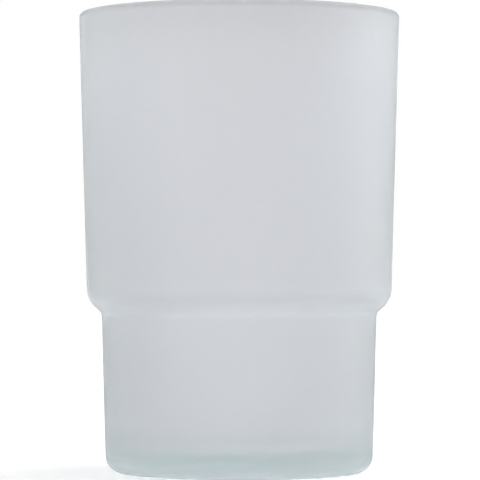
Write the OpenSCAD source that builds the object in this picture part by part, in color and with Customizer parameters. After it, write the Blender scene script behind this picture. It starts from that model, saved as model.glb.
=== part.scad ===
// Stepped bathroom tumbler of satin glass, for a ring holder on the wall or for a shelf.
//
// The real one is a single piece of pressed glass, so the model is one solid: an outline
// turned about Z. The outline is a short list of corners, each with the radius that rounds it.
// The origin is on the table under the middle of the mouth, and every length is in millimetres.

/* [Upper body] */
// Height from the table to the top of the lip
height = 100; // [80:0.5:130]
// How far the upper wall leans out towards the mouth, in degrees
upper_draft = 1.65; // [0.5:0.05:4]
// Thickness of the glass at the lip
lip_wall = 2.6; // [1.8:0.1:3.6]
// Radius of the fire-polished rounding on each side of the lip
lip_round = 1.2; // [0.5:0.1:1.6]

/* [Shoulder] */
// Height at which the upper wall turns into the seat
shoulder_z = 37.65; // [30:0.05:60]
// How far the shoulder stands out past the lower body, all the way round
ledge_w = 3.15; // [3:0.05:5]
// Slope of the seat that rests on a ring holder, in degrees
seat_slope = 44.5; // [40:0.5:58]
// Radius of the bend from the upper wall into the seat
shoulder_round = 5.75; // [4:0.05:6.8]
// Radius of the hollow where the seat meets the lower wall
neck_round = 1.4; // [0.4:0.1:1.6]
// Thickness of the glass round the shoulder and the seat
shoulder_wall = 2.8; // [2:0.1:3.6]

/* [Lower body] */
// Outside diameter under the seat, which has to pass through the ring of a holder
neck_d = 59.9; // [50:0.1:80]
// How far the lower wall leans in towards the table, in degrees
lower_draft = 1.6; // [0.5:0.05:4]
// Radius of the bottom edge
foot_round = 3.7; // [1.5:0.1:5]
// Thickness of the lower wall at the height of the floor
foot_wall = 3.2; // [2.8:0.1:4.5]

/* [Base] */
// Thickness of the glass in the middle of the base
base_thick = 4.6; // [3.5:0.1:8]
// Radius of the bend from the lower wall into the floor inside
floor_round = 4; // [2:0.25:8]
// Width of the flat ring that stands on the table
bearing_w = 3; // [1.5:0.1:6]
// Depth of the shallow dome inside that ring
dome_depth = 0.9; // [0.3:0.1:1.6]

/* [Hidden] */
// How far a rounding circle passes through the faces that it joins, to cross them cleanly
slip = 0.001;
// How far a corner piece reaches past those faces, as a share of its distance from the centre
reach_share = 1.15;
// Share of the lip's thickness that one side's rounding may take
lip_round_share = 0.48;
satin_glass = [0.80, 0.83, 0.84, 0.75];
$fn = 120;
// Segments in the large circle that cuts the dome
dome_segments = 900;

// The seat falls from the shoulder to the lower wall, and each wall leans at its draft
neck_r = neck_d / 2;
shoulder_r = neck_r + ledge_w;
neck_z = shoulder_z - ledge_w * tan(seat_slope);
mouth_r = shoulder_r + (height - shoulder_z) * tan(upper_draft);
floor_z = dome_depth + base_thick;
function lower_wall_r(z) = neck_r - (neck_z - z) * tan(lower_draft);

// How much higher the inside of the step lies than the outside, at the same thickness
inner_rise = shoulder_wall * tan(45 - seat_slope / 2);

// A corner is [radius from the axis, height, rounding]. The list runs up the outside, over the
// lip and down the inside. The bends of the step share their centres with those outside.
lip_bend = min(lip_round, lip_wall * lip_round_share);
corners = [
    [0, 0, 0],
    [lower_wall_r(0), 0, foot_round],
    [neck_r, neck_z, neck_round],
    [shoulder_r, shoulder_z, shoulder_round],
    [mouth_r, height, lip_bend],
    [mouth_r - lip_wall, height, lip_bend],
    [shoulder_r - shoulder_wall, shoulder_z + inner_rise, shoulder_round - shoulder_wall],
    [neck_r - shoulder_wall, neck_z + inner_rise, neck_round + shoulder_wall],
    [lower_wall_r(floor_z) - foot_wall, floor_z, floor_round],
    [0, floor_z, 0],
];

function place(corner) = [corner[0], corner[1]];
function toward(start, end) = (end - start) / norm(end - start);

// The part of a corner that lies outside the circle that rounds it
module corner_piece(before, corner, after, round_r) {
    u = toward(corner, before);
    v = toward(corner, after);
    half = acos(u * v) / 2;
    centre = corner + toward([0, 0], u + v) * (round_r - slip) / sin(half);
    run = (round_r - slip) / tan(half);
    difference() {
        polygon([for (p = [centre, corner + u * run, corner, corner + v * run])
            centre + (p - centre) * reach_share]);
        translate(centre)
            circle(r = round_r);
    }
}

// Those parts for every corner that turns left as the list is walked one way: 1 is forwards,
// and -1 is backwards, which finds the corners where the glass turns inwards
module corner_pieces(way) {
    for (i = [1 : len(corners) - 2]) {
        before = place(corners[i - way]);
        corner = place(corners[i]);
        after = place(corners[i + way]);
        if (cross(corner - before, after - corner) > 0)
            corner_piece(before, corner, after, corners[i][2]);
    }
}

// Section of the glass from the axis to its outside. Where the glass turns inwards the corners
// are filled up to their rounding, and where it turns outwards they are cut back to it.
module section() {
    difference() {
        union() {
            polygon([for (corner = corners) place(corner)]);
            corner_pieces(-1);
        }
        corner_pieces(1);
        dome();
    }
}

// The circle that hollows the underside inside the bearing ring, which starts where the bend
// of the bottom edge ends
module dome() {
    ring_r = lower_wall_r(0) - foot_round * tan(45 - lower_draft / 2) - bearing_w;
    dome_r = (ring_r * ring_r / dome_depth + dome_depth) / 2;
    translate([0, dome_depth - dome_r])
        circle(r = dome_r, $fn = dome_segments);
}

module tumbler() {
    color(satin_glass)
        rotate_extrude()
            section();
}

tumbler();
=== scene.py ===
import math

import bpy
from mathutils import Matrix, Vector

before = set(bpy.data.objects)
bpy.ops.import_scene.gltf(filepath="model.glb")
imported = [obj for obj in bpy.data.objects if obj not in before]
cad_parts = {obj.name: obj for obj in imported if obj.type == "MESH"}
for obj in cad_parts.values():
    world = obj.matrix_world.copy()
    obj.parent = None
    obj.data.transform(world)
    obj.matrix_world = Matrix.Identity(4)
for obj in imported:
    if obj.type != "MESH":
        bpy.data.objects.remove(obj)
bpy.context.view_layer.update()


# The tumbler. It is one piece of pressed soda-lime glass, green where it is thick. Acid has
# etched it matt, most at the lip and least on the straight walls inside, so that light comes
# through it but no picture does. Its colour carries painted light and shade by height: painted
# lighter at the foot and the seat, painted darker in the base, above the seat, under the lip and at
# the lip.

TUMBLER_HEIGHT = 0.1
LIGHT_LET_THROUGH = 0.92
GLASS_IOR = 1.52
ETCH_SHEEN = 0.2
ETCH_SHEEN_ROUGHNESS = 0.45
GREEN_OF_THICK_GLASS = (0.70, 0.82, 0.80, 1.0)
GREEN_PER_METRE = 31.0

# The etch's own tint, and heights above the floor with the painted light and shade of the colour at
# each
ETCHED_TINT = (0.973, 0.972, 1.0)
PAINTED_LIGHT_AND_SHADE_BY_HEIGHT = (
    (0.0, 1.0), (0.0025, 0.98), (0.0045, 0.855), (0.0085, 0.855), (0.011, 0.915),
    (0.0335, 0.915), (0.035, 1.0), (0.037, 1.0), (0.0385, 0.905), (0.0425, 0.905),
    (0.045, 0.915), (0.09, 0.915), (0.0955, 0.88), (0.0985, 0.88), (0.0993, 0.70),
)

# A fine grain, and wider clouds in which the etch bit a little more or less
GRAIN_SIZE, CLOUD_SIZE = 0.0004, 0.0025
GRAIN_SEED, CLOUD_SEED = 1.0, 2.0
GRAIN_SHADE, CLOUD_SHADE = 0.02, 0.015
GRAIN_DEPTH = 0.00001
PATTERN_DETAIL = 2.0
PATTERN_LOW, PATTERN_HIGH = 0.25, 0.75

OUTER_ROUGHNESS = 0.62
INNER_ROUGHNESS = 0.32
LIP_ROUGHNESS = 0.9
ROUGHNESS_SPREAD = 0.03
LIP_START, LIP_END = 0.0986, 0.0992

# The bends of the inside, round its floor and in its step, are as matt as the outside
FLOOR_BEND_TOP = 0.010
STEP_BEND_FOOT, STEP_BEND_TOP = 0.033, 0.041

# The surface half way through the glass, which parts the inside from the outside. Each of its
# three runs has its lower and upper height, then what it adds to the radius at each.
INNER_FLOOR = 0.0025
LOWER_WALL = (0.0063, 0.0345, 0.02746, 0.02845)
STEP = (0.0345, 0.0385, 0.0, 0.00325)
UPPER_WALL = (0.0385, 0.1, 0.0, 0.0019)


def math_node(tree, operation, *values):
    node = tree.nodes.new("ShaderNodeMath")
    node.operation = operation
    for socket, value in zip(node.inputs, values):
        if isinstance(value, float):
            socket.default_value = value
        else:
            tree.links.new(value, socket)
    return node.outputs["Value"]


def ramp(tree, value, start, end, low, high):
    scale = tree.nodes.new("ShaderNodeMapRange")
    scale.inputs["From Min"].default_value = start
    scale.inputs["From Max"].default_value = end
    scale.inputs["To Min"].default_value = low
    scale.inputs["To Max"].default_value = high
    tree.links.new(value, scale.inputs["Value"])
    return scale.outputs["Result"]


def etch_pattern(tree, place, size, seed):
    pattern = tree.nodes.new("ShaderNodeTexNoise")
    pattern.noise_dimensions = "4D"
    pattern.inputs["Scale"].default_value = 1.0 / size
    pattern.inputs["Detail"].default_value = PATTERN_DETAIL
    pattern.inputs["W"].default_value = seed
    tree.links.new(place, pattern.inputs["Vector"])
    return pattern.outputs["Fac"]


def spread_about(tree, pattern, middle, spread):
    return ramp(tree, pattern, PATTERN_LOW, PATTERN_HIGH, middle - spread, middle + spread)


def inside_mask(tree, axes):
    squares = [math_node(tree, "MULTIPLY", axes.outputs[name], axes.outputs[name]) for name in "XY"]
    radius = math_node(tree, "SQRT", math_node(tree, "ADD", *squares))
    height = axes.outputs["Z"]
    middle = ramp(tree, height, *LOWER_WALL)
    for run in (STEP, UPPER_WALL):
        middle = math_node(tree, "ADD", middle, ramp(tree, height, *run))
    within = math_node(tree, "LESS_THAN", radius, middle)
    above = math_node(tree, "GREATER_THAN", height, INNER_FLOOR)
    return math_node(tree, "MULTIPLY", within, above)


def bend_mask(tree, height):
    above = math_node(tree, "GREATER_THAN", height, STEP_BEND_FOOT)
    below = math_node(tree, "LESS_THAN", height, STEP_BEND_TOP)
    in_step = math_node(tree, "MULTIPLY", above, below)
    round_floor = math_node(tree, "LESS_THAN", height, FLOOR_BEND_TOP)
    return math_node(tree, "MAXIMUM", in_step, round_floor)


# Painted light and shade by height: each stop's value raises the colour above the body's 0.915 at
# the foot and the seat, and lowers it in the base, above the seat, under the lip and at the lip.
def painted_light_and_shade(tree, height):
    by_height = tree.nodes.new("ShaderNodeValToRGB")
    stops = by_height.color_ramp.elements
    while len(stops) < len(PAINTED_LIGHT_AND_SHADE_BY_HEIGHT):
        stops.new(0.5)
    for stop, (level, clear) in zip(stops, PAINTED_LIGHT_AND_SHADE_BY_HEIGHT):
        stop.position = level / TUMBLER_HEIGHT
        stop.color = (clear, clear, clear, 1.0)
    share = ramp(tree, height, 0.0, TUMBLER_HEIGHT, 0.0, 1.0)
    tree.links.new(share, by_height.inputs["Fac"])
    return by_height.outputs["Color"]


def etched_glass():
    material = bpy.data.materials.new("etched_glass")
    material.use_nodes = True
    tree = material.node_tree
    surface = tree.nodes["Principled BSDF"]
    surface.inputs["Transmission Weight"].default_value = LIGHT_LET_THROUGH
    surface.inputs["IOR"].default_value = GLASS_IOR
    surface.inputs["Coat Weight"].default_value = ETCH_SHEEN
    surface.inputs["Coat Roughness"].default_value = ETCH_SHEEN_ROUGHNESS

    place = tree.nodes.new("ShaderNodeTexCoord").outputs["Object"]
    axes = tree.nodes.new("ShaderNodeSeparateXYZ")
    tree.links.new(place, axes.inputs["Vector"])
    height = axes.outputs["Z"]
    grain = etch_pattern(tree, place, GRAIN_SIZE, GRAIN_SEED)
    cloud = etch_pattern(tree, place, CLOUD_SIZE, CLOUD_SEED)

    tone_with_painted_light_and_shade = math_node(tree, "MULTIPLY", spread_about(tree, grain, 1.0, GRAIN_SHADE),
                      spread_about(tree, cloud, 1.0, CLOUD_SHADE))
    # The grain and cloud tone is multiplied by the painted light and shade by height.
    tone_with_painted_light_and_shade = math_node(tree, "MULTIPLY", tone_with_painted_light_and_shade, painted_light_and_shade(tree, height))
    tint = tree.nodes.new("ShaderNodeVectorMath")
    tint.operation = "SCALE"
    tint.inputs["Vector"].default_value = ETCHED_TINT
    tree.links.new(tone_with_painted_light_and_shade, tint.inputs["Scale"])
    tree.links.new(tint.outputs["Vector"], surface.inputs["Base Color"])

    straight = math_node(tree, "SUBTRACT", 1.0, bend_mask(tree, height))
    inner_wall = math_node(tree, "MULTIPLY", inside_mask(tree, axes), straight)
    etch = ramp(tree, inner_wall, 0.0, 1.0, OUTER_ROUGHNESS, INNER_ROUGHNESS)
    etch = math_node(tree, "ADD", etch, spread_about(tree, cloud, 0.0, ROUGHNESS_SPREAD))
    lip = ramp(tree, height, LIP_START, LIP_END, 0.0, 1.0)
    to_lip = math_node(tree, "MULTIPLY", lip, math_node(tree, "SUBTRACT", LIP_ROUGHNESS, etch))
    tree.links.new(math_node(tree, "ADD", etch, to_lip), surface.inputs["Roughness"])

    bump = tree.nodes.new("ShaderNodeBump")
    bump.inputs["Strength"].default_value = 1.0
    bump.inputs["Distance"].default_value = GRAIN_DEPTH
    tree.links.new(grain, bump.inputs["Height"])
    tree.links.new(bump.outputs["Normal"], surface.inputs["Normal"])

    depth = tree.nodes.new("ShaderNodeVolumeAbsorption")
    depth.inputs["Color"].default_value = GREEN_OF_THICK_GLASS
    depth.inputs["Density"].default_value = GREEN_PER_METRE
    tree.links.new(depth.outputs["Volume"], tree.nodes["Material Output"].inputs["Volume"])
    return material


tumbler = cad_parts["tumbler"]
tumbler.data.materials.clear()
tumbler.data.materials.append(etched_glass())


# The floor. It is a plain pale sheet that the tumbler stands on and throws its shadow on. To the
# camera it glows enough to meet the white background without a line. To the glass it glows under
# and close round the foot, a painted pool of light in place of the light that comes through the
# base, and again beyond 0.3 m.

FLOOR_SIZE = 6.0
FLOOR_PAPER = (0.85, 0.85, 0.85, 1.0)
PAPER_ROUGHNESS = 0.9
PAPER_SHINE = 0.1
WHITE = (1.0, 1.0, 1.0, 1.0)
CAMERA_GLOW_NEAR, CAMERA_GLOW_FAR = 0.25, 1.0
CAMERA_FADE_START, CAMERA_FADE_END = 0.3, 1.2
PAINTED_LIGHT_UNDER_FOOT, GLASS_GLOW_FAR = 0.37, 0.77
UNDER_START, UNDER_END = 0.03, 0.06
FAR_START, FAR_END = 0.28, 0.32


def glass_looks(tree, path):
    return math_node(tree, "MAXIMUM", path.outputs["Is Glossy Ray"],
                     path.outputs["Is Transmission Ray"])


def floor_paper():
    material = bpy.data.materials.new("floor_paper")
    material.use_nodes = True
    tree = material.node_tree
    surface = tree.nodes["Principled BSDF"]
    surface.inputs["Base Color"].default_value = FLOOR_PAPER
    surface.inputs["Roughness"].default_value = PAPER_ROUGHNESS
    surface.inputs["Specular IOR Level"].default_value = PAPER_SHINE
    surface.inputs["Emission Color"].default_value = WHITE

    away = tree.nodes.new("ShaderNodeVectorMath")
    away.operation = "LENGTH"
    tree.links.new(tree.nodes.new("ShaderNodeTexCoord").outputs["Object"], away.inputs[0])
    distance = away.outputs["Value"]
    to_camera = ramp(tree, distance, CAMERA_FADE_START, CAMERA_FADE_END,
                     CAMERA_GLOW_NEAR, CAMERA_GLOW_FAR)
    # Painted light: a pool of glow under and round the foot, seen only by the glass, in place of
    # the light that comes through the base.
    painted_pool_under_foot = ramp(tree, distance, UNDER_START, UNDER_END, PAINTED_LIGHT_UNDER_FOOT, 0.0)
    far = ramp(tree, distance, FAR_START, FAR_END, 0.0, GLASS_GLOW_FAR)
    to_glass = math_node(tree, "ADD", painted_pool_under_foot, far)
    path = tree.nodes.new("ShaderNodeLightPath")
    glow = math_node(tree, "ADD",
                     math_node(tree, "MULTIPLY", to_camera, path.outputs["Is Camera Ray"]),
                     math_node(tree, "MULTIPLY", to_glass, glass_looks(tree, path)))
    tree.links.new(glow, surface.inputs["Emission Strength"])
    return material


bpy.ops.mesh.primitive_plane_add(size=FLOOR_SIZE)
floor = bpy.context.object
floor.name = "floor"
floor.data.materials.append(floor_paper())


# The light. It is a soft studio of large lamps: overhead, behind on both sides, and high and
# low on both sides, with a small one beside the camera. The camera sees a white room. The
# glass sees a dimmer one, which is white only overhead.

ROOM_LOW, ROOM_HIGH = 0.6, 1.0
ROOM_START, ROOM_END = 0.45, 1.0
LAMP_AIM = Vector((0, 0, 0.05))
WATTS_AT_LEVEL_ONE = math.pi ** 2


def white_room():
    world = bpy.data.worlds.new("studio")
    world.use_nodes = True
    tree = world.node_tree
    background = tree.nodes["Background"]
    background.inputs["Color"].default_value = WHITE
    outward = tree.nodes.new("ShaderNodeSeparateXYZ")
    direction = tree.nodes.new("ShaderNodeTexCoord").outputs["Generated"]
    tree.links.new(direction, outward.inputs["Vector"])
    room = ramp(tree, outward.outputs["Z"], ROOM_START, ROOM_END, ROOM_LOW, ROOM_HIGH)
    path = tree.nodes.new("ShaderNodeLightPath")
    seen = math_node(tree, "MAXIMUM", path.outputs["Is Camera Ray"],
                     math_node(tree, "MULTIPLY", room, glass_looks(tree, path)))
    tree.links.new(seen, background.inputs["Strength"])
    return world


bpy.context.scene.world = white_room()


def soft_lamp(name, azimuth, elevation, size, level):
    # A lamp is 1 m from its aim, and azimuth 0 is at the camera's side and 90 at the right. At
    # level 1 it makes a white card at the aim, turned to face it, white.
    turn, rise = math.radians(azimuth), math.radians(elevation)
    sideways, forwards = math.sin(turn) * math.cos(rise), -math.cos(turn) * math.cos(rise)
    light = bpy.data.lights.new(name, "AREA")
    light.size = size
    light.energy = WATTS_AT_LEVEL_ONE * level
    lamp = bpy.data.objects.new(name, light)
    bpy.context.scene.collection.objects.link(lamp)
    lamp.location = LAMP_AIM + Vector((sideways, forwards, math.sin(rise)))
    lamp.rotation_euler = (LAMP_AIM - lamp.location).to_track_quat("-Z", "Y").to_euler()


soft_lamp("overhead_lamp", 0, 90, 0.7, 0.67)
soft_lamp("high_left_lamp", -60, 40, 0.6, 0.16)
soft_lamp("high_right_lamp", 90, 40, 0.6, 0.47)
soft_lamp("left_back_lamp", -130, 40, 0.6, 0.163)
soft_lamp("right_back_lamp", 130, 30, 0.5, 0.18)
soft_lamp("front_left_lamp", -45, 8, 0.4, 0.13)
soft_lamp("low_left_lamp", -95, 8, 0.5, 0.04)
soft_lamp("low_right_lamp", 95, 8, 0.5, 0.03)
soft_lamp("camera_side_lamp", 5, 6, 0.3, 0.08)


# The camera. It stands a little under the middle of the tumbler and looks along +Y, less than a
# degree up from level. Its height, distance and lens are what the curves of the photographed lip
# and foot give.

EYE_HEIGHT = 0.04337
EYE_DISTANCE = 0.6362
LENS_MM = 218.9
SENSOR_MM = 36.0
NEAREST_SEEN = 0.01
VIEW_AIM = Vector((0.00017, 0, 0.05053))

view = bpy.data.cameras.new("camera")
view.lens = LENS_MM
view.sensor_width = SENSOR_MM
view.clip_start = NEAREST_SEEN
camera = bpy.data.objects.new("camera", view)
bpy.context.scene.collection.objects.link(camera)
camera.location = (0, -EYE_DISTANCE, EYE_HEIGHT)
camera.rotation_euler = (VIEW_AIM - camera.location).to_track_quat("-Z", "Y").to_euler()
bpy.context.scene.camera = camera

bpy.context.scene.view_settings.view_transform = "Standard"
